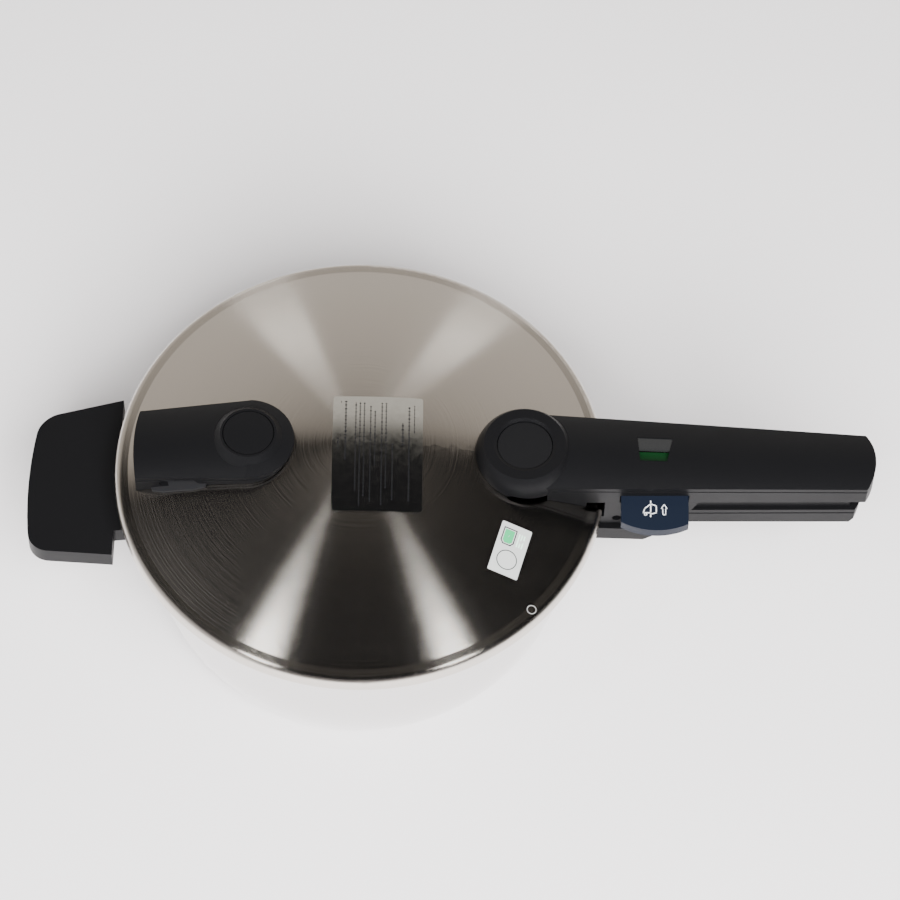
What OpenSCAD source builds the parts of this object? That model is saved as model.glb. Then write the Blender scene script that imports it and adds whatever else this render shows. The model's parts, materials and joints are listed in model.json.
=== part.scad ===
// Stovetop pressure cooker with bayonet lid, valve hub, steam slide and grip button.
// Units are millimetres. The origin is on the pot's axis at the flat base face,
// +Z is up and +X points along the long handle.

/* [Pot] */
// outer radius of the straight upper wall
wall_r = 108.5; // [100:0.5:115]
// sheet thickness of the pot
wall_t = 1.2; // [0.8:0.1:2]
// radius of the capsule base
base_r = 96; // [90:0.5:100]
// height of the capsule base under the pot floor
base_h = 6; // [4:0.5:8]
// height where the curved lower wall meets the straight wall
belly_z = 47; // [35:1:60]
// radius of the curve of the lower wall
belly_r = 90; // [70:1:120]
// height of the pot's rim
rim_z = 99; // [90:0.5:110]
// outer radius of the bayonet lugs on the pot's rim
pot_lug_r = 116.5; // [114:0.5:118]

/* [Lid] */
// outer radius of the lid
lid_r = 123; // [118:0.5:126]
// height of the shoulder round the dome
shoulder_z = 103.5; // [98:0.5:110]
// fall of the shoulder towards its rolled corner, in degrees
shoulder_deg = 7; // [0:1:12]
// radius where the dome meets the shoulder
dome_edge_r = 116.4; // [112:0.2:118]
// height of the top of the dome
apex_z = 125; // [118:0.5:130]
// height of the lower edge of the skirt
skirt_z = 95; // [90:0.5:98]
// radius of the rolled corner between shoulder and skirt
corner_r = 3.8; // [2:0.2:5]
// sheet thickness of the lid
lid_t = 1.2; // [0.8:0.1:2]
// number of bayonet lugs
lug_n = 5; // [4:1:6]
// width of each lid lug
lug_deg = 30; // [20:1:34]

/* [Long handles] */
// distance of the valve hub from the pot's axis
hub_x = 81.6; // [76:0.2:86]
// height of the hub's top ring
hub_z = 127.8; // [126:0.2:130]
// height of the handle's crest where it leaves the lid
crest_z = 125.8; // [124:0.1:127]
// radius of the handle's crowned top
crown_r = 48; // [40:1:60]
// half width of the handle beside the hub
grip_w1 = 22; // [18:0.2:25]
// half width of the handle at its tip
grip_w2 = 15.6; // [12:0.2:20]
// distance of the lid handle's tip from the pot's axis
tip_x = 256.3; // [240:0.5:270]
// height of the lid handle's flat underside
grip_z = 107.9; // [106:0.1:110]
// height of the pot handle's lower face
pot_grip_z = 86; // [80:0.5:90]
// wall thickness of the moulded shells
shell_t = 2.4; // [1.8:0.1:3]

/* [Release slide] */
// left edge of the slide
tab_x1 = 130; // [126:0.5:134]
// right edge of the slide
tab_x2 = 163.4; // [158:0.2:168]
// front edge of the slide
tab_y = -39.2; // [-46:0.2:-34]
// height of the slide's lower face
tab_z = 108.6; // [108.2:0.1:110]
// thickness of the slide outside the handle
tab_t = 5.5; // [4:0.1:7]

/* [Left grip] */
// distance of the push button from the pot's axis
button_x = 55.5; // [50:0.1:60]
// radius of the push button
button_r = 12.4; // [10:0.1:14]
// distance of the grip's curved end from the pot's axis
left_end_x = 112.8; // [108:0.2:114]
// half width of the grip at its flat end
left_w1 = 19.4; // [17:0.2:22]
// half width of the grip at the button
left_w2 = 22.6; // [20:0.2:25]
// height of the grip's crest beside the button
left_crest = 130.4; // [128:0.2:132]
// radius of the left grip's crowned top
left_r = 54; // [45:1:70]

/* [Helper handle] */
// half width of the helper handle beside the pot
wing_w = 46.2; // [40:0.1:50]
// outer edge of the helper handle from the pot's axis
wing_x = 168.4; // [160:0.2:175]
// height of the helper handle's inner upper edge
wing_z = 85; // [80:0.5:90]
// thickness of the helper handle
wing_t = 10; // [8:0.5:12]

/* [Hidden] */
$fn = 96;
dome_r = (dome_edge_r * dome_edge_r + pow(apex_z - shoulder_z, 2)) / (2 * (apex_z - shoulder_z));
dome_cz = apex_z - dome_r;
grip_len = tip_x - hub_x;
floor_z = base_h + wall_t;
valve_x = hub_x;
safety_x = 88;
stud_x = 105;
lock_x = 178;
top_screws = [199, 238];
pin_r = 3.5;
wing_tilt = 11.7;
crown_slope = 0.0254;
left_slope = 10.2;

// ---------- shared shapes ----------

// solid of revolution under the dome's outer face, grown by g
module under_dome(g = 0) {
  rotate_extrude($fn = 360) intersection() {
    translate([0, dome_cz]) circle(r = dome_r + g, $fn = 720);
    translate([0, 70]) square([135, 80]);
  }
}

// sector of a ring, a0 to a1 degrees
module ring_sector(ri, ro, a0, a1) {
  n = 8;
  intersection() {
    difference() {
      circle(r = ro);
      circle(r = ri);
    }
    polygon(concat([[0, 0]],
      [for (i = [0:n]) 2 * ro * [cos(a0 + (a1 - a0) * i / n), sin(a0 + (a1 - a0) * i / n)]]));
  }
}

// coil of rectangular wire between z0 and z1
module coil(x, y, r, wire, z0, z1, turns, slices) {
  fill = 360 * wire * turns / (z1 - z0);
  translate([x, y, z0])
    linear_extrude(height = z1 - z0, twist = -360 * turns, slices = slices, $fn = 10)
      polygon(concat(
        [for (i = [0:4]) (r + wire / 2) * [cos(fill * i / 4), sin(fill * i / 4)]],
        [for (i = [4:-1:0]) (r - wire / 2) * [cos(fill * i / 4), sin(fill * i / 4)]]));
}

module cyl(x, y, z0, z1, r) {
  translate([x, y, z0]) cylinder(r = r, h = z1 - z0);
}

module hex(x, y, z0, z1, af) {
  translate([x, y, z0]) cylinder(r = af / sqrt(3), h = z1 - z0, $fn = 6);
}

module box(x0, y0, z0, x1, y1, z1) {
  translate([x0, y0, z0]) cube([x1 - x0, y1 - y0, z1 - z0]);
}

// ---------- pot ----------

// half section of the pot shrunk by t
module pot_section(t) {
  cx = wall_r - belly_r;
  k = 5;
  sx = cx + sqrt(pow(belly_r - k, 2) - pow(belly_z - base_h - k, 2));
  zt = belly_z - (belly_z - base_h - k) * belly_r / (belly_r - k);
  translate([0, base_h + t]) square([sx, k - t]);
  translate([sx, base_h + k]) circle(r = k - t);
  intersection() {
    translate([cx, belly_z]) circle(r = belly_r - t, $fn = 256);
    translate([0, zt]) square([wall_r + 5, belly_z - zt + 3]);
  }
  translate([0, belly_z]) square([wall_r - t, rim_z - belly_z + (t > 0 ? 1 : 0)]);
}

module half_plane() {
  translate([0, -200]) square([400, 600]);
}

module pot_body() {
  color([0.78, 0.78, 0.77]) difference() {
    union() {
      rotate_extrude($fn = 128) intersection() {
        pot_section(0);
        half_plane();
      }
      // flared rim
      translate([0, 0, rim_z - 1.6]) cylinder(r = 112.5, h = 1.6, $fn = 128);
      translate([0, 0, rim_z - 3.4]) cylinder(r1 = wall_r, r2 = 110.3, h = 1.8, $fn = 128);
      // bayonet lugs
      translate([0, 0, rim_z - 1.6]) linear_extrude(height = 1.6)
        for (i = [0:lug_n - 1])
          ring_sector(wall_r, pot_lug_r, i * 360 / lug_n - 16, i * 360 / lug_n + 16);
    }
    rotate_extrude($fn = 128) intersection() {
      pot_section(wall_t);
      half_plane();
    }
  }
}

module base_core() {
  color([0.7, 0.71, 0.72]) translate([0, 0, 0.85]) cylinder(r = base_r - 0.9, h = base_h - 0.95, $fn = 128);
}

module base_cap() {
  color([0.74, 0.74, 0.74]) rotate_extrude($fn = 128) difference() {
    union() {
      square([base_r - 2, 3]);
      translate([base_r - 2, 2]) circle(r = 2);
      translate([0, 2]) square([base_r, base_h - 2.05]);
    }
    translate([-1, 0.8]) square([base_r + 0.2, base_h]);
    translate([-10, -5]) square([10, 20]);
  }
}

module handle_bracket() {
  color([0.66, 0.66, 0.66]) difference() {
    union() {
      intersection() {
        difference() {
          cyl(0, 0, 76.5, 93, wall_r + 1.8);
          cyl(0, 0, 70, 99, wall_r + 0.05);
        }
        box(90, -15, 70, 120, 15, 99);
      }
      difference() {
        box(106, -9, 82.4, 146, 9, 85.8);
        cyl(0, 0, 80, 90, wall_r + 0.6);
      }
    }
    cyl(136, 0, 80, 90, 2.55);
  }
}

module flame_guard() {
  color([0.11, 0.11, 0.12]) difference() {
    intersection() {
      box(108, -22.3, 76, 150, 22.3, 85.9);
      // bevelled outer lower corner
      translate([108, 30, 0]) rotate([90, 0, 0]) linear_extrude(height = 60)
        polygon([[0, 76], [35, 76], [42, 82], [42, 86], [0, 86]]);
    }
    cyl(0, 0, 70, 99, wall_r + 2.2);
    box(104, -9.2, 82.1, 146.3, 9.2, 90);
    cyl(136, 0, 70, 90, 2.8);
    cyl(136, 0, 70, 79.6, 5.2);
  }
}

// straight taper seen from above, from x0 to x1, pulled in by s
module grip_plan(x0, x1, s) {
  w0 = grip_w1 - (grip_w1 - grip_w2) * (x0 - hub_x) / grip_len - s;
  w1 = grip_w1 - (grip_w1 - grip_w2) * (x1 - hub_x) / grip_len - s;
  polygon([[x0, -w0], [x1, -w1], [x1, w1], [x0, w0]]);
}

// grip plan with the round tip ending at x1
module tip_plan(x0, x1, s) {
  intersection() {
    grip_plan(x0, x1, s);
    union() {
      translate([x1 - s - 30, 0]) circle(r = 30);
      translate([x0 - 10, -40]) square([x1 - s - 30 - x0 + 10, 80]);
    }
  }
}

module pot_handle() {
  color([0.11, 0.11, 0.12]) difference() {
    intersection() {
      union() {
        // lower rail, groove, ridge and narrow upper rail
        translate([0, 0, pot_grip_z]) linear_extrude(height = 9.4) tip_plan(108, 252.5, 1);
        translate([0, 0, pot_grip_z + 9]) linear_extrude(height = 1.8) tip_plan(108, 251.6, 2.2);
        translate([0, 0, pot_grip_z + 10.6]) linear_extrude(height = 2.6) tip_plan(108, 252.5, 0.8);
        translate([0, 0, pot_grip_z + 13]) linear_extrude(height = 8.2) tip_plan(108, 250.6, 2.8);
        // full-width root with a slanting end
        intersection() {
          translate([0, 0, pot_grip_z]) linear_extrude(height = 21.2) grip_plan(108, 172, 0.4);
          translate([0, 40, 0]) rotate([90, 0, 0]) linear_extrude(height = 80)
            polygon([[100, 80], [163.5, 80], [164.8, 98], [169.4, 108], [100, 108]]);
        }
      }
      // slightly rounded lower face
      translate([100, 0, pot_grip_z + 110]) rotate([0, 90, 0]) cylinder(r = 110, h = 160, $fn = 200);
      // slanting end
      translate([0, 40, 0]) rotate([90, 0, 0]) linear_extrude(height = 80)
        polygon([[100, 80], [241, 80], [250.5, 95], [253, 108], [100, 108]]);
    }
    cyl(0, 0, 70, 94, wall_r + 2.2);
    cyl(0, 0, 93.9, 120, lid_r + 1);
    cyl(136, 0, 80, 101, 2.55);
    // pocket for the lock pin
    box(lock_x - 4.5, -4.5, 102.4, lock_x + 4.5, 4.5, 110);
    // round stop recess beside the release slide
    translate([128.8, -16.6, 92.4]) rotate([90, 0, 0]) cylinder(r = 2.3, h = 10);
  }
}

module handle_screw() {
  color([0.6, 0.6, 0.6]) difference() {
    union() {
      cyl(136, 0, 76.6, 79.5, 4.6);
      cyl(136, 0, 79, 100, 2.5);
    }
    hex(136, 0, 76, 78.4, 3.5);
  }
}

module helper_bracket() {
  color([0.66, 0.66, 0.66]) difference() {
    union() {
      intersection() {
        difference() {
          cyl(0, 0, 62, 82, wall_r + 1.8);
          cyl(0, 0, 58, 90, wall_r + 0.05);
        }
        box(-120, -30.5, 58, -80, 30.5, 90);
      }
      difference() {
        box(-139, -24, 70.2, -104, 24, 72.6);
        cyl(0, 0, 60, 90, wall_r + 0.6);
      }
    }
    for (s = [-1, 1]) cyl(-134, s * 16, 60, 90, 2.1);
  }
}

// helper handle seen from above
module wing_plan() {
  arc_r = 228;
  ox = arc_r - wing_x;
  rc = 13;
  cy = 27.5;
  cx = ox - sqrt(pow(arc_r - rc, 2) - cy * cy);
  k = arc_r / (arc_r - rc);
  a = 9.1;
  difference() {
    union() {
      polygon([[-118, -wing_w], [cx - rc * sin(a), -cy - rc * cos(a)], [cx, -cy],
        [ox + (cx - ox) * k, -cy * k], [ox + (cx - ox) * k, cy * k], [cx, cy],
        [cx - rc * sin(a), cy + rc * cos(a)], [-118, wing_w]]);
      for (m = [-1, 1]) translate([cx, m * cy]) circle(r = rc);
      intersection() {
        translate([ox, 0]) circle(r = arc_r, $fn = 200);
        polygon([[ox, 0], [ox + 2 * (cx - ox), 2 * cy], [ox + 2 * (cx - ox), -2 * cy]]);
      }
    }
    translate([-122.6, -80]) square([60, 160]);
  }
  // root that reaches the pot's wall
  translate([-124, -31.5]) square([24, 63]);
}

module helper_handle() {
  color([0.11, 0.11, 0.12]) difference() {
    union() {
      intersection() {
        translate([0, 0, 50]) linear_extrude(height = 60) wing_plan();
        translate([-123, 0, wing_z]) rotate([0, -wing_tilt, 0])
          translate([-70, -60, -wing_t]) cube([100, 120, wing_t]);
      }
      // root block
      box(-128, -29, 72.8, -104, 29, 82);
      box(-141, -29, 72.8, -122, 29, 78);
    }
    // finger hollow under the wing
    translate([-123, 0, wing_z]) rotate([0, -wing_tilt, 0]) {
      box(-38, -29, -wing_t - 6, -24, 29, -6);
      for (s = [-1, 1]) box(-24.5, s * 34.5 - 4, -wing_t - 6, -5, s * 34.5 + 4, -6);
    }
    // seat of the bracket
    box(-139.4, -24.4, 60, -100, 24.4, 72.8);
    cyl(0, 0, 60, 94, wall_r + 2.2);
    for (s = [-1, 1]) cyl(-134, s * 16, 60, 78.5, 1.7);
  }
}

module helper_screws() {
  color([0.6, 0.6, 0.6]) for (s = [-1, 1]) difference() {
    union() {
      cyl(-134, s * 16, 67.4, 70.1, 3.6);
      cyl(-134, s * 16, 70, 78, 1.65);
    }
    hex(-134, s * 16, 67, 69, 2.8);
  }
}

// ---------- lid ----------

module lid_section(t) {
  a = shoulder_deg;
  cx = lid_r - corner_r;
  cz = shoulder_z - tan(a) * (cx - dome_edge_r) - corner_r / cos(a);
  tx = cx + (corner_r - t) * sin(a);
  intersection() {
    translate([0, dome_cz]) circle(r = dome_r - t, $fn = 360);
    translate([0, skirt_z]) square([dome_edge_r, 60]);
  }
  polygon([[0, skirt_z], [0, shoulder_z - t], [dome_edge_r - 3, shoulder_z - t],
    [dome_edge_r, shoulder_z - t / cos(a)], [tx, cz + (corner_r - t) * cos(a)], [tx, skirt_z]]);
  translate([cx, cz]) circle(r = corner_r - t);
  translate([0, skirt_z - (t > 0 ? 1 : 0)]) square([lid_r - t, cz - skirt_z + (t > 0 ? 1 : 0)]);
}

module lid_shell() {
  color([0.72, 0.71, 0.69]) difference() {
    union() {
      rotate_extrude($fn = 180) difference() {
        intersection() {
          lid_section(0);
          half_plane();
        }
        lid_section(lid_t);
      }
      // bayonet lugs folded in from the skirt
      translate([0, 0, skirt_z]) linear_extrude(height = 1.6)
        for (i = [0:lug_n - 1])
          ring_sector(114, lid_r - 0.6, i * 360 / lug_n - lug_deg / 2, i * 360 / lug_n + lug_deg / 2);
    }
    cyl(valve_x, 0, 90, 140, 5.8);
    cyl(-button_x, 0, 90, 140, 5.3);
    cyl(-safety_x, 0, 90, 140, 4.8);
  }
}

module sealing_ring() {
  color([0.35, 0.36, 0.37]) rotate_extrude($fn = 128) difference() {
    union() {
      translate([108, 99.5]) square([10.4, 2.35]);
      translate([108.4, 99]) translate([0, 1.7]) circle(r = 1.1);
    }
    translate([110, 100.8]) square([6.2, 2]);
  }
}

// round hub with a domed side, shrunk by s
module hub_outer(s = 0) {
  translate([hub_x, 0, 0]) rotate_extrude($fn = 180) intersection() {
    union() {
      translate([7.8, 116.3]) circle(r = 17.07 - s);
      translate([0, 100]) square([24.87 - s, 16.3]);
      translate([0, 100]) square([7.8, 40]);
    }
    translate([0, 100]) square([40, hub_z - s - 100]);
  }
}

// crowned bar: length cylinder of radius r, its crest at height z0 above x0, falling by slope
module crown(x0, z0, r, slope, len) {
  translate([x0, 0, z0]) rotate([0, atan(slope), 0]) translate([0, 0, -r])
    rotate([0, 90, 0]) translate([0, 0, -40]) cylinder(r = r, h = len + 40, $fn = 200);
}

module top_crown(d, s) {
  crown(114, crest_z - d, crown_r - s, crown_slope, 160);
}

module top_body(s) {
  hub_outer(s);
  intersection() {
    translate([0, 0, 100]) linear_extrude(height = 46) tip_plan(hub_x, tip_x, s);
    top_crown(s, s);
  }
}

// window opening seen from above, pulled in by s
module window_plan(s) {
  polygon([[137.4 + s, 8 - s], [155.2 - s, 8 - s], [152.2 - s, -5.6 + s], [138.8 + s, -5.6 + s]]);
}

module lid_handle_top() {
  color([0.11, 0.11, 0.12]) difference() {
    union() {
      difference() {
        top_body(0);
        // hollow inside
        translate([hub_x, 0, 90]) cylinder(r = 20, h = 34.3);
        intersection() {
          translate([0, 0, 90]) linear_extrude(height = 50) tip_plan(hub_x + 4, tip_x, shell_t);
          top_crown(shell_t, shell_t);
        }
      }
      intersection() {
        union() {
          // screw towers
          for (x = top_screws) cyl(x, 0, 111.7, 140, 3.6);
          // fixed abutment over the lock pin
          cyl(lock_x, 0, 120.4, 140, 5);
        }
        top_crown(1, 1);
      }
    }
    // level underside and the curve of the dome
    difference() {
      translate([0, 0, grip_z - 60]) cube([800, 200, 120], center = true);
      cyl(0, 0, 40, 130, dome_edge_r - 1.5);
    }
    under_dome(0.15);
    // recess and opening for the disc
    cyl(hub_x, 0, hub_z - 5, hub_z + 5, 13.9);
    translate([hub_x, 0, hub_z - 0.8]) cylinder(r1 = 13.9, r2 = 15.6, h = 0.9);
    // window
    translate([0, 0, 100]) linear_extrude(height = 60) window_plan(0);
    // mouth of the release slide
    box(tab_x1 - 0.5, -60, grip_z - 1, tab_x2 + 0.5, -12, tab_z + tab_t + 0.35);
    // steam outlet beside the hub
    translate([0, -10, 0]) rotate([90, 0, 0]) linear_extrude(height = 20)
      polygon([[73.5, 112], [93.4, 108], [93.4, 115.8], [76, 117.5], [73.5, 116.2]]);
    for (x = top_screws) cyl(x, 0, 105, 120.6, 1.55);
    // fine groove under the top edge
    intersection() {
      translate([0, 0, 100]) linear_extrude(height = 40) difference() {
        translate([hub_x + 14, -40]) square([200, 80]);
        tip_plan(hub_x - 5, tip_x, 0.5);
      }
      difference() {
        top_crown(2.4, 0);
        top_crown(3.2, 0);
      }
    }
  }
}

module lid_handle_base() {
  g = shell_t + 0.15;
  color([0.14, 0.14, 0.15]) difference() {
    union() {
      // thick foot on the dome, lower beside the stud
      difference() {
        union() {
          intersection() {
            cyl(hub_x, 0, grip_z, 118, 19.7);
            box(50, -30, 100, 93.5, 30, 120);
          }
          cyl(hub_x, 0, grip_z, 114, 19.7);
          translate([0, 0, grip_z]) linear_extrude(height = 114 - grip_z) grip_plan(hub_x + 5, 112, g);
        }
        under_dome(0.15);
        // way to the steam outlet
        box(68, -30, 100, 95, -13, 130);
      }
      // long floor plate
      translate([0, 0, grip_z]) linear_extrude(height = 2.4) tip_plan(110, tip_x, g);
      for (x = top_screws) cyl(x, 0, grip_z, 111.5, 5.5);
      cyl(lock_x, 0, grip_z, 112, 6.5);
      // rails for the vent slider
      for (s = [-1, 1]) box(99, s * 6 - 1, 113.5, 108, s * 6 + 1, 119);
    }
    cyl(valve_x, 0, 90, 140, 5.6);
    cyl(stud_x, 0, 90, 140, 2.6);
    cyl(lock_x, 0, 90, 140, pin_r + 0.05);
    for (x = top_screws) {
      cyl(x, 0, 100, 120, 1.7);
      cyl(x, 0, 100, grip_z + 1.9, 3.2);
    }
    // space for the release slide
    box(tab_x1 - 0.6, -60, 100, tab_x2 + 0.6, -12.2, 130);
  }
}

module handle_top_screws() {
  color([0.6, 0.6, 0.6]) for (x = top_screws) difference() {
    union() {
      cyl(x, 0, grip_z + 0.1, grip_z + 1.85, 3);
      cyl(x, 0, grip_z + 1, 120, 1.5);
    }
    hex(x, 0, grip_z - 1, grip_z + 1.2, 2.4);
  }
}

module lid_stud() {
  color([0.6, 0.6, 0.6]) difference() {
    cyl(stud_x, 0, 104, 117.2, 2.5);
    under_dome(0.02);
  }
}

module stud_nut() {
  color([0.62, 0.62, 0.62]) difference() {
    hex(stud_x, 0, 114.05, 116.4, 8);
    cyl(stud_x, 0, 110, 130, 2.55);
  }
}

module window_lens() {
  color([0.55, 0.57, 0.58]) intersection() {
    translate([0, 0, 100]) linear_extrude(height = 60) intersection() {
      window_plan(0.12);
      translate([130, 0.8]) square([40, 20]);
    }
    difference() {
      top_crown(0.5, 0.5);
      top_crown(1.9, 1.9);
    }
  }
}

module hub_disc() {
  color([0.09, 0.09, 0.1]) translate([hub_x, 0, 0]) difference() {
    union() {
      translate([0, 0, hub_z - 3.7]) cylinder(r = 13.5, h = 2.4);
      translate([0, 0, hub_z - 4.9]) cylinder(r = 16.6, h = 1.3);
    }
    translate([0, 0, hub_z - 6]) cylinder(r = 9.5, h = 3);
  }
}

// moulded washer whose upper face follows the inside of the dome
module dome_washer(x, r, ri, z0) {
  difference() {
    intersection() {
      cyl(x, 0, z0, 130, r);
      under_dome(-lid_t - 0.05);
    }
    cyl(x, 0, z0 - 1, 140, ri);
  }
}

module valve_gasket() {
  color([0.2, 0.2, 0.21]) dome_washer(valve_x, 9.5, 5.6, 108.6);
}

module valve_body() {
  color([0.78, 0.66, 0.38]) difference() {
    union() {
      hex(valve_x, 0, 104.8, 108.5, 17);
      cyl(valve_x, 0, 104.8, 120.2, 5.5);
    }
    cyl(valve_x, 0, 100, 130, 3.05);
  }
}

module valve_nut() {
  color([0.62, 0.62, 0.62]) difference() {
    hex(valve_x, 0, 118.05, 119.9, 17);
    cyl(valve_x, 0, 110, 130, 5.55);
  }
}

module regulator_spring() {
  color([0.7, 0.7, 0.7]) coil(valve_x, 0, 3.6, 0.6, 121.5, hub_z - 3.05, 2, 48);
}

module regulator_poppet() {
  color([0.7, 0.7, 0.7]) {
    cyl(valve_x, 0, 120.4, 121.4, 5);
    cyl(valve_x, 0, 101, 121, 3);
    cyl(valve_x, 0, 121, 122.2, 2.4);
  }
}

module tab_plan() {
  r = 35.3;
  intersection() {
    translate([tab_x1, tab_y - 5]) square([tab_x2 - tab_x1, 60]);
    translate([(tab_x1 + tab_x2) / 2, tab_y + r]) circle(r = r, $fn = 160);
  }
}

module release_slide() {
  color([0.07, 0.1, 0.2]) difference() {
    union() {
      // thick outer tongue
      intersection() {
        translate([0, 0, tab_z]) linear_extrude(height = tab_t) tab_plan();
        box(tab_x1, -60, tab_z, tab_x2, -20.4, tab_z + tab_t);
      }
      // thin inner plate above the handle's floor
      box(tab_x1, -20.5, 110.6, tab_x2, -6.5, tab_z + tab_t);
    }
    // hollow under the tongue
    box(tab_x1 + 2, -33, tab_z - 1, tab_x2 - 2, -20.6, tab_z + 2);
  }
}

module vent_slider() {
  color([0.6, 0.6, 0.62]) {
    box(97, -4, 117.8, 152, 4, 118.8);
    box(97, -4, 117.8, 98.2, 4, 121.8);
    box(89.5, -4, 120.8, 98.2, 4, 121.8);
    box(146, -4, 114.8, 152, -2.6, 118.3);
  }
}

module lock_pin() {
  color([0.68, 0.68, 0.7]) {
    cyl(lock_x, 0, 108.2, 119.6, pin_r);
    cyl(lock_x, 0, 116.4, 117.8, 5.6);
  }
}

module lock_spring() {
  color([0.7, 0.7, 0.7]) coil(lock_x, 0, 4.6, 0.35, 112.1, 116.3, 3, 60);
}

module status_flag() {
  color([0.1, 0.45, 0.15]) {
    box(138.6, -3.6, 120.9, 158, 1.2, 121.5);
    box(156, -3.6, 115, 158, 1.2, 121.3);
  }
}

// ---------- left grip ----------

module left_plan(s) {
  translate([-button_x, 0]) circle(r = left_w2 - s);
  intersection() {
    polygon([[-116, -left_w1 + s], [-button_x, -left_w2 + s],
      [-button_x, left_w2 - s], [-116, left_w1 - s]]);
    circle(r = left_end_x - s, $fn = 200);
  }
}

// everything under the grip's top surface, its crest lowered by d and its radius shrunk by s
module left_top(d, s) {
  intersection() {
    mirror([1, 0, 0]) crown(button_x, left_crest - 0.15 - d, left_r - s, tan(left_slope), 90);
    box(-140, -40, 60, -button_x, 40, 150);
  }
  intersection() {
    translate([-button_x, 0, left_crest - d - left_r + s]) sphere(r = left_r - s, $fn = 200);
    box(-button_x, -40, 60, 0, 40, 150);
  }
}

module left_body(s) {
  intersection() {
    translate([0, 0, 90]) linear_extrude(height = 60) left_plan(s);
    left_top(s, s);
  }
}

// drip lip in front of the steam outlet, grown by g
module left_lip(g) {
  intersection() {
    translate([0, 0, 90]) linear_extrude(height = 60)
      polygon([[-104.2 - g, -18], [-102.6 - g, -21.8 - g], [-97, -23.2 - g], [-82, -23.9 - g],
        [-76 + g, -23 - g], [-74.6 + g, -18]]);
    under_dome(1.5 + g);
  }
}

module grip_shell() {
  color([0.12, 0.12, 0.13]) difference() {
    union() {
      left_body(0);
      // collar round the button
      translate([-button_x, 0, 0]) rotate_extrude($fn = 180)
        polygon([[0, 122], [17.6, 122], [17.6, 126.6], [14, 131], [0, 131]]);
    }
    under_dome(0.15);
    left_body(shell_t);
    cyl(-button_x, 0, 110, 128.6, 14.6);
    cyl(-button_x, 0, 120, 140, button_r + 0.45);
    // steam outlet in the near wall
    translate([0, -14, 0]) rotate([90, 0, 0]) linear_extrude(height = 20)
      polygon([[-99.7, 113.8], [-97, 117.1], [-81.8, 118.6], [-78.7, 115.7], [-80.2, 113.4], [-98.7, 111.6]]);
    left_lip(0.1);
    // fine groove under the top edge
    intersection() {
      translate([0, 0, 100]) linear_extrude(height = 40) difference() {
        translate([-130, -40]) square([110, 80]);
        left_plan(0.5);
      }
      difference() {
        left_top(2.2, 0);
        left_top(3, 0);
      }
    }
  }
}

module grip_base() {
  color([0.14, 0.14, 0.15]) difference() {
    union() {
      difference() {
        intersection() {
          left_body(shell_t + 0.15);
          union() {
            under_dome(1.6);
            cyl(-button_x, 0, 100, 124, 13.2);
            cyl(-safety_x, 0, 100, 116, 8.5);
          }
        }
        // way to the steam outlet
        box(-92, -30, 90, -77, -12, 140);
        cyl(-safety_x, 0, 116, 140, 8.8);
      }
      left_lip(0);
    }
    under_dome(0.15);
    cyl(-button_x, 0, 90, 140, 5.1);
    cyl(-safety_x, 0, 90, 140, 4.6);
  }
}

module relief_gasket() {
  color([0.2, 0.2, 0.21]) dome_washer(-button_x, 8.6, 5.1, 115);
}

module relief_body() {
  color([0.78, 0.66, 0.38]) difference() {
    union() {
      hex(-button_x, 0, 112, 114.9, 15);
      cyl(-button_x, 0, 112, 126.6, 5);
    }
    cyl(-button_x, 0, 100, 140, 2.55);
  }
}

module relief_nut() {
  color([0.62, 0.62, 0.62]) difference() {
    hex(-button_x, 0, 124.05, 126, 15);
    cyl(-button_x, 0, 110, 140, 5.05);
  }
}

module button_spring() {
  color([0.7, 0.7, 0.7]) coil(-button_x, 0, 11.6, 0.6, 124.1, 127.5, 2, 48);
}

module push_button() {
  color([0.12, 0.12, 0.13]) difference() {
    union() {
      translate([-button_x, 0, 0]) rotate_extrude() intersection() {
        translate([0, 131.5 - 120]) circle(r = 120, $fn = 360);
        translate([0, 127.6]) square([button_r, 6]);
      }
      cyl(-button_x, 0, 127.6, 128.4, 14);
      cyl(-button_x, 0, 109, 128, 2.5);
    }
    // hollow under the cap
    difference() {
      cyl(-button_x, 0, 127, 129.4, 10.4);
      cyl(-button_x, 0, 126, 131, 2.5);
    }
  }
}

module relief_seal() {
  color([0.25, 0.25, 0.26]) difference() {
    cyl(-button_x, 0, 108.2, 111.6, 5.4);
    cyl(-button_x, 0, 108.8, 115, 2.55);
  }
}

module safety_gasket() {
  color([0.2, 0.2, 0.21]) dome_washer(-safety_x, 7.6, 4.6, 107.4);
}

module safety_body() {
  color([0.78, 0.66, 0.38]) difference() {
    union() {
      hex(-safety_x, 0, 104.4, 107.3, 13);
      cyl(-safety_x, 0, 104.4, 117.9, 4.5);
    }
    cyl(-safety_x, 0, 100, 130, 2.05);
  }
}

module safety_nut() {
  color([0.62, 0.62, 0.62]) difference() {
    hex(-safety_x, 0, 116.05, 117.6, 13);
    cyl(-safety_x, 0, 110, 130, 4.55);
  }
}

module safety_spring() {
  color([0.7, 0.7, 0.7]) coil(-safety_x, 0, 3.2, 0.5, 119, 121.5, 2, 40);
}

module safety_poppet() {
  color([0.7, 0.7, 0.7]) {
    cyl(-safety_x, 0, 118.1, 118.9, 4);
    cyl(-safety_x, 0, 103, 118.5, 2);
  }
}

// ---------- labels ----------

module rounded_rect(x0, y0, x1, y1, r) {
  translate([x0 + r, y0]) square([x1 - x0 - 2 * r, y1 - y0]);
  translate([x0, y0 + r]) square([x1 - x0, y1 - y0 - 2 * r]);
  for (x = [x0 + r, x1 - r]) for (y = [y0 + r, y1 - r]) translate([x, y]) circle(r = r);
}

module on_dome(t) {
  intersection() {
    difference() {
      under_dome(t);
      under_dome(0.03);
    }
    translate([0, 0, 100]) linear_extrude(height = 60) children();
  }
}

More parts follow.
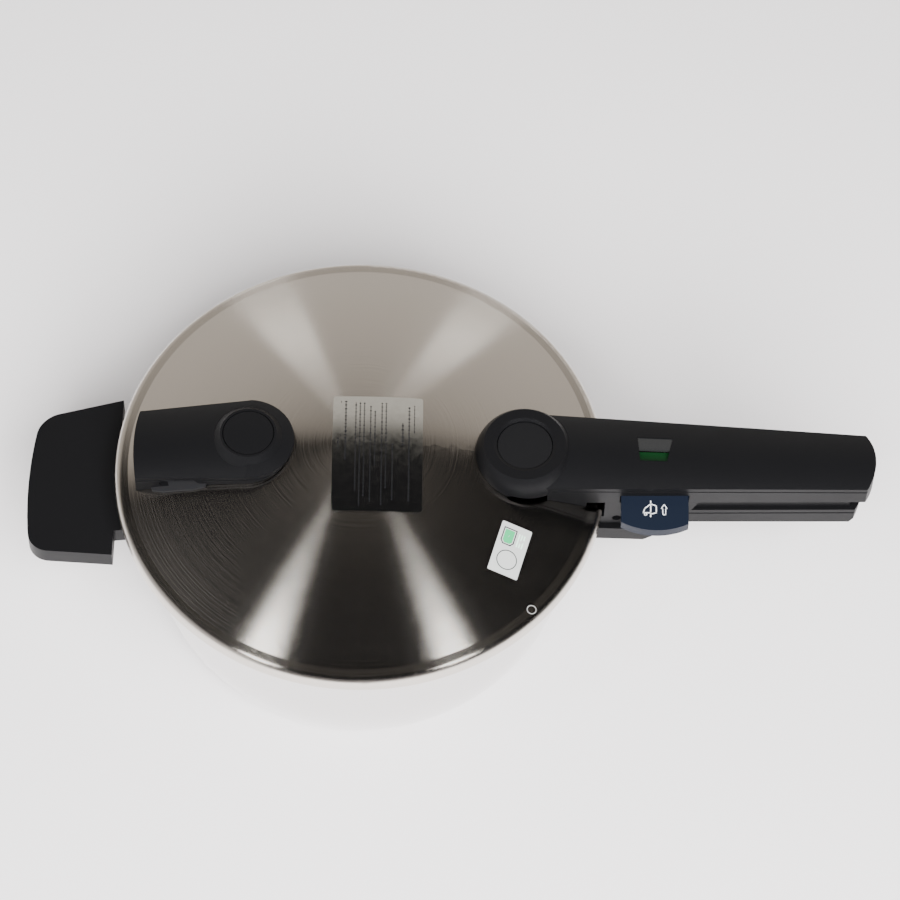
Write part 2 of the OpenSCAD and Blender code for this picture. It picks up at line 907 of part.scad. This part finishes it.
module centre_label() {
  color([0.8, 0.8, 0.8]) on_dome(0.28)
    translate([8.6, -5.2]) rotate([0, 0, 1.1]) rounded_rect(-22.4, -32.8, 22.4, 32.8, 1.5);
}

module side_label() {
  color([0.93, 0.93, 0.92]) on_dome(0.25)
    translate([75.4, -51.6]) rotate([0, 0, -15.5]) rounded_rect(-7.6, -13.5, 7.6, 13.5, 0.6);
}

pot_body();
base_core();
base_cap();
handle_bracket();
flame_guard();
pot_handle();
handle_screw();
helper_bracket();
helper_handle();
helper_screws();
lid_shell();
sealing_ring();
lid_handle_top();
lid_handle_base();
handle_top_screws();
lid_stud();
stud_nut();
window_lens();
hub_disc();
valve_gasket();
valve_body();
valve_nut();
regulator_spring();
regulator_poppet();
release_slide();
vent_slider();
lock_pin();
lock_spring();
status_flag();
grip_shell();
grip_base();
relief_gasket();
relief_body();
relief_nut();
button_spring();
push_button();
relief_seal();
safety_gasket();
safety_body();
safety_nut();
safety_spring();
safety_poppet();
centre_label();
side_label();
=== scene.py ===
import bpy
import json
from math import cos, sin, radians, pi, sqrt
from mathutils import Matrix, Vector


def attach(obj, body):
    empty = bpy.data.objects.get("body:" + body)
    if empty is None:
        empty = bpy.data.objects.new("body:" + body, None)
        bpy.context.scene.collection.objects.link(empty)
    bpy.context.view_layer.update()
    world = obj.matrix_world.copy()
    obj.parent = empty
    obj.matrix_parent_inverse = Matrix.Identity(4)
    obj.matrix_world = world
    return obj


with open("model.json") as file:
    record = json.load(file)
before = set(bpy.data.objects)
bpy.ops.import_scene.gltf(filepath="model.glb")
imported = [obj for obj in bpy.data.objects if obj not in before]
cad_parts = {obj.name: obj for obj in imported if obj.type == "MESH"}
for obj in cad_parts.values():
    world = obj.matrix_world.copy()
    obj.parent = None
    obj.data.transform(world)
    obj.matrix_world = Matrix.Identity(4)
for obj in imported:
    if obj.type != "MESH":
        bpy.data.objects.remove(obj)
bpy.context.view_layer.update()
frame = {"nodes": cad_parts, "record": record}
NODES = frame["nodes"]
scene = bpy.context.scene
MM = 0.001


# ---------- camera, at the photograph's viewing angle ----------

PITCH = 1.0210907          # radians below the horizon
ROLL = 0.0293131           # radians, the picture is turned a little
CAM_POS = (0.044504, -1.038648, 1.815393)
FOCAL_MM = 160.0
SENSOR_MM = 36.0
FAR_CLIP_M = 50.0

cam_data = bpy.data.cameras.new("camera")
cam_data.lens = FOCAL_MM
cam_data.sensor_width = SENSOR_MM
cam_data.clip_end = FAR_CLIP_M
cam = bpy.data.objects.new("camera", cam_data)
fwd = Vector((0, cos(PITCH), -sin(PITCH)))
right0 = Vector((1, 0, 0))
up0 = Vector((0, sin(PITCH), cos(PITCH)))
right = cos(ROLL) * right0 + sin(ROLL) * up0
up = -sin(ROLL) * right0 + cos(ROLL) * up0
m = Matrix.Identity(4)
for i in range(3):
    m[i][0], m[i][1], m[i][2], m[i][3] = right[i], up[i], -fwd[i], CAM_POS[i]
cam.matrix_world = m
scene.collection.objects.link(cam)
scene.camera = cam


# ---------- materials: colours are linear, noise scales per metre, bump depths in metres ----------

PLASTIC_GRAIN = 2600.0
RING_LINES = 1500.0        # turned and brushed lines around the pot's axis

def new_mat(name, color, rough, metal=0.0, **extra):
    mat = bpy.data.materials.new(name)
    mat.use_nodes = True
    bsdf = mat.node_tree.nodes["Principled BSDF"]
    bsdf.inputs["Base Color"].default_value = (*color, 1)
    bsdf.inputs["Roughness"].default_value = rough
    bsdf.inputs["Metallic"].default_value = metal
    for k, v in extra.items():
        bsdf.inputs[k.replace("_", " ")].default_value = v
    return mat, mat.node_tree, bsdf


def add(nt, kind, **props):
    n = nt.nodes.new(kind)
    for k, v in props.items():
        setattr(n, k, v)
    return n


def noise(nt, scale, detail=3.0, vector=None, dims="3D"):
    no = add(nt, "ShaderNodeTexNoise", noise_dimensions=dims)
    no.inputs["Scale"].default_value = scale
    no.inputs["Detail"].default_value = detail
    if dims == "1D":
        nt.links.new(vector, no.inputs["W"])
    else:
        if vector is None:
            vector = add(nt, "ShaderNodeTexCoord").outputs["Object"]
        nt.links.new(vector, no.inputs["Vector"])
    return no.outputs["Fac"]


def bump(nt, bsdf, height, dist, strength=1.0):
    bu = add(nt, "ShaderNodeBump")
    bu.inputs["Strength"].default_value = strength
    bu.inputs["Distance"].default_value = dist
    nt.links.new(height, bu.inputs["Height"])
    nt.links.new(bu.outputs["Normal"], bsdf.inputs["Normal"])


def spread(nt, fac, lo, hi, socket):
    """maps the middle of a noise, 0.3 to 0.7, to a range of values"""
    mr = add(nt, "ShaderNodeMapRange")
    mr.inputs["From Min"].default_value = 0.3
    mr.inputs["From Max"].default_value = 0.7
    mr.inputs["To Min"].default_value = lo
    mr.inputs["To Max"].default_value = hi
    nt.links.new(fac, mr.inputs["Value"])
    nt.links.new(mr.outputs["Result"], socket)


def radius(nt):
    """distance from the pot's axis"""
    tc = add(nt, "ShaderNodeTexCoord")
    flat = add(nt, "ShaderNodeVectorMath", operation="MULTIPLY")
    flat.inputs[1].default_value = (1, 1, 0)
    nt.links.new(tc.outputs["Object"], flat.inputs[0])
    ln = add(nt, "ShaderNodeVectorMath", operation="LENGTH")
    nt.links.new(flat.outputs[0], ln.inputs[0])
    return ln.outputs["Value"]


polished, nt, b = new_mat("polished_steel", (0.76, 0.745, 0.735), 0.05, 1.0)
spread(nt, noise(nt, 9.0, 2.0), 0.035, 0.075, b.inputs["Roughness"])
bump(nt, b, noise(nt, 40.0, 1.0), 0.00002, 0.35)

brushed, nt, b = new_mat("brushed_steel", (0.66, 0.615, 0.56), 0.22, 1.0,
                         Anisotropic=1.0, Anisotropic_Rotation=0.25)
tan = add(nt, "ShaderNodeTangent", direction_type="RADIAL", axis="Z")
nt.links.new(tan.outputs["Tangent"], b.inputs["Tangent"])
rings = noise(nt, RING_LINES, 4.0, radius(nt), "1D")
spread(nt, rings, 0.17, 0.24, b.inputs["Roughness"])
bump(nt, b, rings, 0.00003, 0.5)

satin, nt, b = new_mat("satin_steel", (0.62, 0.62, 0.61), 0.32, 1.0)
spread(nt, noise(nt, 60.0), 0.26, 0.4, b.inputs["Roughness"])
turned, nt, b = new_mat("turned_steel", (0.64, 0.63, 0.61), 0.28, 1.0)
bump(nt, b, noise(nt, RING_LINES, 2.0, radius(nt), "1D"), 0.00002, 0.5)
black, nt, b = new_mat("black_plastic", (0.0045, 0.0045, 0.005), 0.42, Specular_IOR_Level=0.14)
bump(nt, b, noise(nt, PLASTIC_GRAIN, 2.0), 0.00005, 0.35)
spread(nt, noise(nt, 25.0), 0.38, 0.47, b.inputs["Roughness"])
soft, nt, b = new_mat("soft_disc", (0.006, 0.006, 0.0065), 0.6, Specular_IOR_Level=0.15)
bump(nt, b, noise(nt, 3200.0, 2.0), 0.00005, 0.4)
inner, nt, b = new_mat("inner_plastic", (0.012, 0.012, 0.013), 0.6)
bump(nt, b, noise(nt, PLASTIC_GRAIN, 2.0), 0.00004, 0.3)
navy, nt, b = new_mat("navy_plastic", (0.0065, 0.009, 0.016), 0.2, Specular_IOR_Level=0.14)
bump(nt, b, noise(nt, 1800.0, 1.0), 0.00001, 0.15)
green, nt, b = new_mat("green_plastic", (0.003, 0.02, 0.006), 0.35)
bump(nt, b, noise(nt, 1800.0, 1.0), 0.00001, 0.2)
lens, nt, b = new_mat("grey_lens", (0.018, 0.0185, 0.019), 0.14, Alpha=0.85, Specular_IOR_Level=0.35)
rubber, nt, b = new_mat("rubber", (0.02, 0.02, 0.02), 0.7)
bump(nt, b, noise(nt, 1200.0), 0.00004, 0.4)
grey_rubber, nt, b = new_mat("grey_rubber", (0.055, 0.055, 0.06), 0.62)
bump(nt, b, noise(nt, 900.0), 0.00005, 0.4)
brass, nt, b = new_mat("brass", (0.75, 0.58, 0.3), 0.25, 1.0)
spread(nt, noise(nt, 300.0), 0.2, 0.34, b.inputs["Roughness"])
alu, nt, b = new_mat("aluminium", (0.75, 0.76, 0.77), 0.4, 1.0)
spread(nt, noise(nt, 80.0), 0.32, 0.48, b.inputs["Roughness"])
silver, nt, b = new_mat("silver_label", (0.80, 0.80, 0.76), 0.12, 1.0)
spread(nt, noise(nt, 400.0), 0.11, 0.17, b.inputs["Roughness"])
white, nt, b = new_mat("white_label", (0.42, 0.43, 0.42), 0.5)
bump(nt, b, noise(nt, 900.0), 0.00002, 0.2)
ink, nt, b = new_mat("white_ink", (0.82, 0.83, 0.84), 0.4)
white_mark, nt, b = new_mat("position_mark", (0.3, 0.3, 0.29), 0.5)
bump(nt, b, noise(nt, 1500.0, 1.0), 0.00001, 0.3)
dark_ink, nt, b = new_mat("dark_ink", (0.008, 0.008, 0.009), 0.5, Specular_IOR_Level=0.2)
mint, nt, b = new_mat("mint_ink", (0.03, 0.36, 0.14), 0.45)
pale_mint, nt, b = new_mat("pale_mint_ink", (0.55, 0.75, 0.62), 0.45)
BY_SLOT = {
    "polished_steel": polished, "aluminium_core": alu, "base_steel": turned, "bracket_steel": satin,
    "black_plastic": black, "inner_plastic": inner, "fastener_steel": satin, "brushed_steel": brushed,
    "grey_rubber": grey_rubber, "grey_lens": lens, "soft_disc": soft, "black_rubber": rubber,
    "valve_brass": brass, "spring_steel": satin, "valve_steel": satin, "navy_plastic": navy,
    "green_plastic": green, "silver_label": silver, "white_label": white,
}
SHARP_DEG = 25               # edges turn sharp above this angle
SHARP = {"pot_body": 30, "lid_shell": 30, "base_cap": 30}
for sp in frame["record"]["subparts"]:
    ob = NODES[sp["node"]]
    ob.data.materials.clear()
    ob.data.materials.append(BY_SLOT[sp["material_slot"]])
    ob.data.shade_smooth()
    ob.data.set_sharp_from_angle(angle=radians(SHARP.get(sp["node"], SHARP_DEG)))


# ---------- small edge rounding on the plastic parts ----------

def soften(node, width, angle=40, segments=3):
    md = NODES[node].modifiers.new("edge", "BEVEL")
    md.width = width * MM
    md.segments = segments
    md.limit_method = "ANGLE"
    md.angle_limit = radians(angle)
    md.harden_normals = True
    md.use_clamp_overlap = True
    md.miter_outer = "MITER_ARC"


EDGE_MM = {"release_slide": 0.5, "helper_handle": 0.9, "pot_handle": 0.4, "flame_guard": 0.4,
           "push_button": 0.35, "hub_disc": 0.3}
for node, width in EDGE_MM.items():
    soften(node, width)


# ---------- surface of the lid's dome ----------

DOME_R, DOME_CZ = 325.8, -200.8      # mm: the dome's radius and its centre's height


def dome_z(x, y):
    return DOME_CZ + sqrt(DOME_R ** 2 - x * x - y * y)


def mesh_object(name, verts, faces, mat, body):
    me = bpy.data.meshes.new(name)
    me.from_pydata([(v[0] * MM, v[1] * MM, v[2] * MM) for v in verts], [], faces)
    me.materials.append(mat)
    me.update()
    ob = bpy.data.objects.new(name, me)
    scene.collection.objects.link(ob)
    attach(ob, body)
    return ob


def strip(path, w):
    """outlines of the straight bars of a thin line, each a little longer than its ends"""
    out = []
    for (x0, y0), (x1, y1) in zip(path, path[1:]):
        d = Vector((x1 - x0, y1 - y0)).normalized() * w / 2
        n = Vector((-d.y, d.x))
        out.append([(x0 - d.x - n.x, y0 - d.y - n.y), (x1 + d.x - n.x, y1 + d.y - n.y),
                    (x1 + d.x + n.x, y1 + d.y + n.y), (x0 - d.x + n.x, y0 - d.y + n.y)])
    return out


def print_marks(name, outlines, z0, z1, mat, body):
    """many small plates as one piece, between two heights (numbers or functions of x, y)"""
    low = z0 if callable(z0) else (lambda x, y: z0)
    high = z1 if callable(z1) else (lambda x, y: z1)
    verts, faces = [], []
    for outline in outlines:
        k, n = len(verts), len(outline)
        verts += [(x, y, low(x, y)) for x, y in outline] + [(x, y, high(x, y)) for x, y in outline]
        faces += [[k + i for i in range(n)][::-1], [k + n + i for i in range(n)]]
        faces += [(k + i, k + (i + 1) % n, k + n + (i + 1) % n, k + n + i) for i in range(n)]
    return mesh_object(name, verts, faces, mat, body)


# ---------- pictogram on the release slide: a pot and an arrow ----------

TAB_Z = 114.1              # mm: upper face of the slide's tab
POT_LINE_W, ARROW_LINE_W = 0.5, 0.38
POT_LINES = [[(144.6, -24.2), (147.4, -25.2), (147.4, -29.2), (144.6, -30.0), (144.6, -24.2)],
             [(144.6, -22.6), (144.6, -24.2), (141.6, -27.0), (141.0, -29.4), (144.6, -29.2)],
             [(141.6, -29.6), (141.6, -30.8), (142.6, -30.8), (142.6, -29.6)],
             [(144.6, -30.0), (144.6, -31.4)]]
pot_icon = [bar for path in POT_LINES for bar in strip(path, POT_LINE_W)]
arrow = [(150.6, -30.2), (150.6, -26.6), (149.9, -26.6), (151.3, -24.2), (152.7, -26.6),
         (152.0, -26.6), (152.0, -30.2), (150.6, -30.2)]
print_marks("slide_pictogram", pot_icon + strip(arrow, ARROW_LINE_W), TAB_Z - 0.05, TAB_Z + 0.06,
            ink, "slide")


# ---------- generic printing on the labels ----------

def on_label(t):
    return lambda x, y: dome_z(x, y) + t


def turned_by(points, cx, cy, deg):
    a = radians(deg)
    return [(cx + x * cos(a) - y * sin(a), cy + x * sin(a) + y * cos(a)) for x, y in points]


# columns of short marks in place of writing: middle, width, lowest and highest point, in mm
COLUMNS = [(-19.6, 0.7, 2, 8), (-16.0, 1.1, -5, 30), (-11.0, 0.8, -22, 29), (-8.9, 0.8, -30, 29),
           (-6.8, 0.8, -24, 29), (-3.6, 0.8, -28, 27), (-1.4, 0.8, -8, 24), (2.0, 0.8, -29, 29),
           (4.1, 0.8, -20, 29), (7.4, 0.8, -27, 5), (12.4, 1.2, 4, 17), (15.6, 1.0, -26, 27),
           (18.2, 0.6, 12, 28)]
LENGTHS = (0.7, 0.5, 0.9, 0.6, 1.0, 0.4)
WIDTHS = (1.0, 0.7, 0.9, 0.6)
MARK_GAP = 0.42
CENTRE_LABEL = (8.6, -5.2, 1.1)      # x and y in mm, then degrees
SIDE_LABEL = (75.4, -51.6, -15.5)
marks = []
for cx, w, lo, hi in COLUMNS:
    y, k = hi, int(cx * 3)
    while y > lo:
        end = y - LENGTHS[k % 6]
        half = w / 2 * WIDTHS[k % 4]
        mark = [(cx - half, end), (cx + half, end), (cx + half, y), (cx - half, y)]
        marks.append(turned_by(mark, *CENTRE_LABEL))
        y = end - MARK_GAP
        k += 1
marks.append(turned_by([(-18.5, 9), (-18.2, 9), (-18.2, 30), (-18.5, 30)], *CENTRE_LABEL))
print_marks("centre_label_print", marks, on_label(0.26), on_label(0.31), dark_ink, "lid")

ring = [(3.9 * cos(2 * pi * i / 36) * 1.25, -5.6 + 4.9 * sin(2 * pi * i / 36)) for i in range(37)]
frame_line = [(-5.6, 10.6), (-5.6, 3.6), (-4.4, 2.0), (-0.6, 2.0), (0.6, 3.6), (0.6, 10.6), (-5.6, 10.6)]
side_lines = strip(ring, 0.42) + strip(frame_line, 0.55)
print_marks("side_label_print", [turned_by(q, *SIDE_LABEL) for q in side_lines],
            on_label(0.23), on_label(0.29), dark_ink, "lid")
patch = [[(-4.9, 3.9), (-3.9, 2.7), (-1.1, 2.7), (-0.1, 3.9), (-0.1, 9.9), (-4.9, 9.9)]]
print_marks("side_label_patch", [turned_by(q, *SIDE_LABEL) for q in patch],
            on_label(0.23), on_label(0.285), mint, "lid")
bars = [[(x, 2.6), (x + 0.7, 2.6), (x + 0.7, 9.8), (x, 9.8)] for x in (2.0, 3.3, 4.6)]
print_marks("side_label_bars", [turned_by(q, *SIDE_LABEL) for q in bars],
            on_label(0.23), on_label(0.28), pale_mint, "lid")


# ---------- engraved position ring on the lid ----------

DOME_EDGE_R, SHOULDER_R = 116.4, 119.6       # mm from the axis
SHOULDER_Z, SHOULDER_FALL = 103.5, 0.1228    # height at the dome's edge, fall per mm outwards
CORNER_R, CORNER_AT_R, CORNER_Z = 3.8, 119.2, 99.33


def lid_z(x, y):
    """height of the lid's upper face: dome, sloping shoulder, then the rolled corner"""
    r = sqrt(x * x + y * y)
    if r < DOME_EDGE_R:
        return dome_z(x, y)
    if r < SHOULDER_R:
        return SHOULDER_Z - SHOULDER_FALL * (r - DOME_EDGE_R)
    return CORNER_Z + sqrt(max(CORNER_R ** 2 - (r - CORNER_AT_R) ** 2, 0.0))


def ring_on_lid(name, cx, cy, r, thick, mat, body, n=48, k=8):
    """thin ring that follows the lid, with n steps around and k around its section"""
    verts, faces = [], []
    for i in range(n):
        a = 2 * pi * i / n
        for j in range(k):
            b2 = 2 * pi * j / k
            x, y = cx + (r + thick * cos(b2)) * cos(a), cy + (r + thick * cos(b2)) * sin(a)
            verts.append((x, y, lid_z(x, y) + 0.6 * thick * sin(b2)))
            here, ahead, up_j = i * k, ((i + 1) % n) * k, (j + 1) % k
            faces.append((here + j, ahead + j, ahead + up_j, here + up_j))
    mesh_object(name, verts, faces, mat, body).data.shade_smooth()


ring_on_lid("position_ring", 86.8, -80.0, 2.2, 0.2, white_mark, "lid")


# ---------- floor, world and light ----------

FLOOR_SIZE_M, FLOOR_DROP_M = 12, 0.0003
bpy.ops.mesh.primitive_plane_add(size=FLOOR_SIZE_M, location=(0, 1, -FLOOR_DROP_M))
floor = bpy.context.object
floor.name = "floor"
fm, nt, b = new_mat("floor", (0.83, 0.805, 0.81), 0.85)
floor.data.materials.append(fm)

world = bpy.data.worlds.new("world")
scene.world = world
world.use_nodes = True
nt = world.node_tree
bg = nt.nodes["Background"]
bg.inputs["Strength"].default_value = 1.0
tc = add(nt, "ShaderNodeTexCoord")


def towards(x, y, z):
    """how far a view direction leans towards this one"""
    dot = add(nt, "ShaderNodeVectorMath", operation="DOT_PRODUCT")
    dot.inputs[1].default_value = (x, y, z)
    nt.links.new(tc.outputs["Generated"], dot.inputs[0])
    return dot.outputs["Value"]


def zone(value, stops):
    ramp = add(nt, "ShaderNodeValToRGB")
    ramp.color_ramp.elements[0].position = stops[0][0]
    ramp.color_ramp.elements[0].color = (*stops[0][1], 1)
    ramp.color_ramp.elements[1].position = stops[-1][0]
    ramp.color_ramp.elements[1].color = (*stops[-1][1], 1)
    for pos, color in stops[1:-1]:
        ramp.color_ramp.elements.new(pos).color = (*color, 1)
    nt.links.new(value, ramp.inputs["Fac"])
    return ramp.outputs["Color"]


def grey(v):
    return (v, v, v)


# brightness of the room: a backdrop behind the cooker, a zone low in front of it and one at its left
BACK_TILT, FRONT_TILT = radians(-32), radians(10)
zones = [
    zone(towards(0, cos(BACK_TILT), sin(BACK_TILT)),
         [(0.0, (0.012, 0.012, 0.013)), (0.02, (0.017, 0.016, 0.016)),
          (0.10, (0.60, 0.56, 0.51)), (1.0, (0.92, 0.87, 0.81))]),
    zone(towards(0, -cos(FRONT_TILT), -sin(FRONT_TILT)),
         [(0.55, grey(0.0)), (0.75, grey(0.1)), (1.0, grey(0.2))]),
    zone(towards(-0.93, -0.33, 0.15),
         [(0.72, grey(0.0)), (0.84, (0.55, 0.54, 0.53)), (1.0, (0.8, 0.79, 0.78))]),
]
total = zones[0]
for part in zones[1:]:
    both = add(nt, "ShaderNodeVectorMath", operation="ADD")
    nt.links.new(total, both.inputs[0])
    nt.links.new(part, both.inputs[1])
    total = both.outputs[0]
nt.links.new(total, bg.inputs["Color"])


def area(name, loc, aim, size, power):
    d = bpy.data.lights.new(name, "AREA")
    d.energy = power
    d.size = size
    o = bpy.data.objects.new(name, d)
    o.location = loc
    o.rotation_euler = (Vector(aim) - Vector(loc)).to_track_quat("-Z", "Y").to_euler()
    scene.collection.objects.link(o)
    return o


# position, aim, size in metres, power in watts
LID = (0, 0, 0.1)
area("softbox_left", (-0.735, -0.63, 1.87), LID, 0.27, 5.2)
area("softbox_right", (0.735, -0.63, 1.87), LID, 0.27, 4.7)
area("rear_left", (-0.46, 1.82, 1.2), LID, 0.25, 0.6)
area("rear_right", (0.46, 1.82, 1.2), LID, 0.25, 0.6)
fill = area("room_light", (0.3, -1.6, 1.6), (0.0, -0.6, 0), 1.6, 260)
fill.visible_glossy = False      # lights the floor without a mark on the lid
